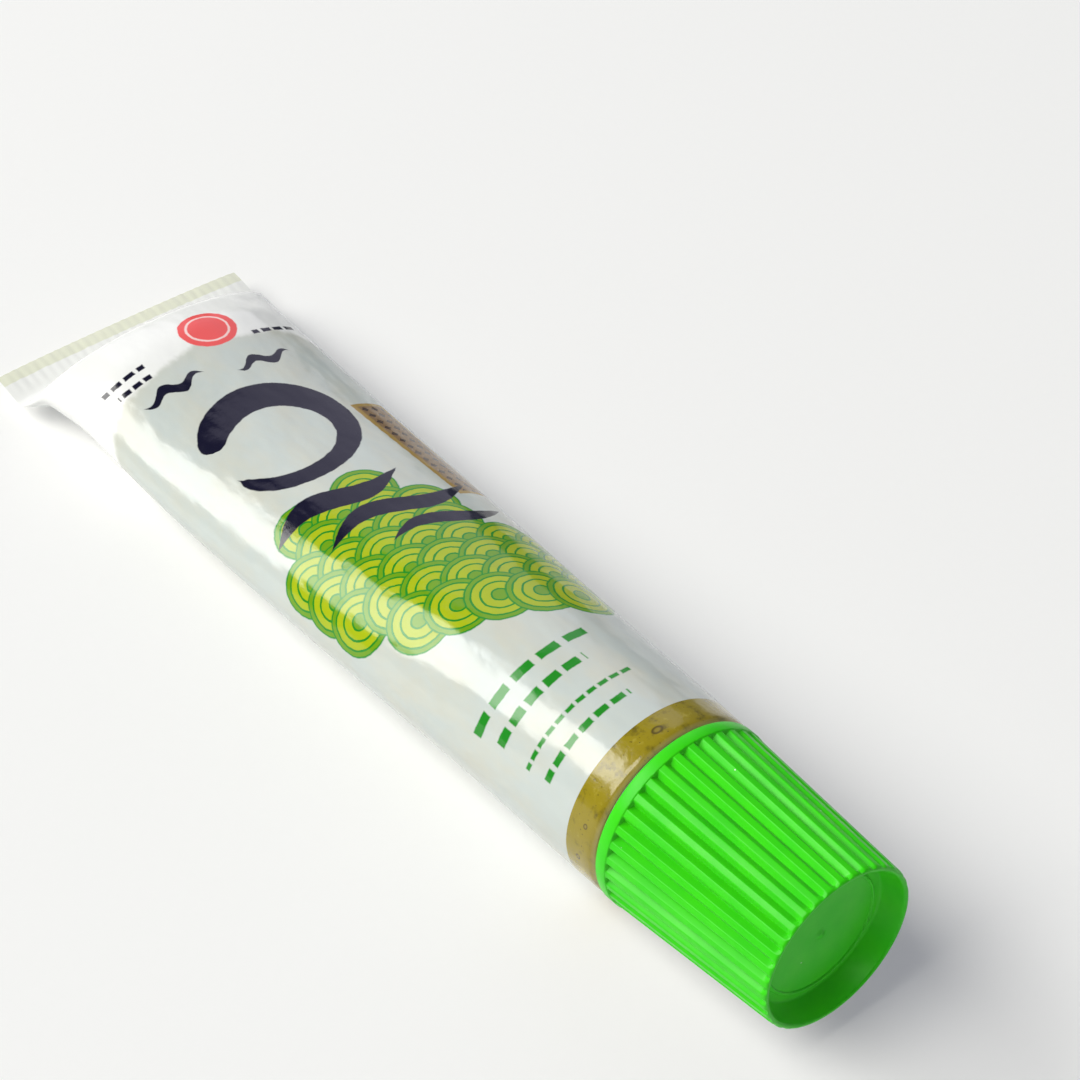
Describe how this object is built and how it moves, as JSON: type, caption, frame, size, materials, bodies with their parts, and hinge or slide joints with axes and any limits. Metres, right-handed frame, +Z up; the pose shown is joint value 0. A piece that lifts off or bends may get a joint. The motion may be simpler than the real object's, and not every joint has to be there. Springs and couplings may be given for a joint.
{
  "type": "squeeze tube with screw cap",
  "caption": "Filled laminate squeeze tube of green paste lying on its side, pressed flat and sealed at the tail, with a ribbed, dished screw cap on a threaded nozzle.",
  "frame": {"origin": "middle of the footprint on the surface that the tube lies on", "axes": "+X from the sealed tail towards the cap, +Y along the tail seam, +Z up out of the printed face; the tube's own axis rises 5.6 degrees towards the cap"},
  "size_m": [0.14, 0.0374, 0.0246],
  "materials": {
    "laminate_film": "printed laminate film, satin gloss",
    "natural_polyethylene": "moulded, milky natural",
    "aluminium_foil": "bright rolled foil",
    "wasabi_paste": "moist coarse paste",
    "liner_foam": "fine closed-cell foam",
    "green_polypropylene": "moulded, bright green, semi-gloss"
  },
  "bodies": {
    "tube": {"tube_sleeve": "laminate_film", "tube_head": "natural_polyethylene", "foil_seal": "aluminium_foil", "wasabi_paste": "wasabi_paste"},
    "liner": {"cap_liner": "liner_foam"},
    "cap": {"screw_cap": "green_polypropylene"}
  },
  "joints": [
    {"name": "cap_lift", "type": "slide", "parent": "tube", "child": "liner", "axis": [0.9952, 0, 0.0976], "range_m": [0, 0.006]},
    {"name": "cap_turn", "type": "hinge", "parent": "liner", "child": "cap", "pos_m": [0.04417, 0, 0.01192], "axis": [0.9952, 0, 0.0976], "range_deg": [0, 720]}
  ],
  "couplings": [
    {"joint": "cap_turn", "follows": "cap_lift", "rad_per_m": 2094.4}
  ]
}
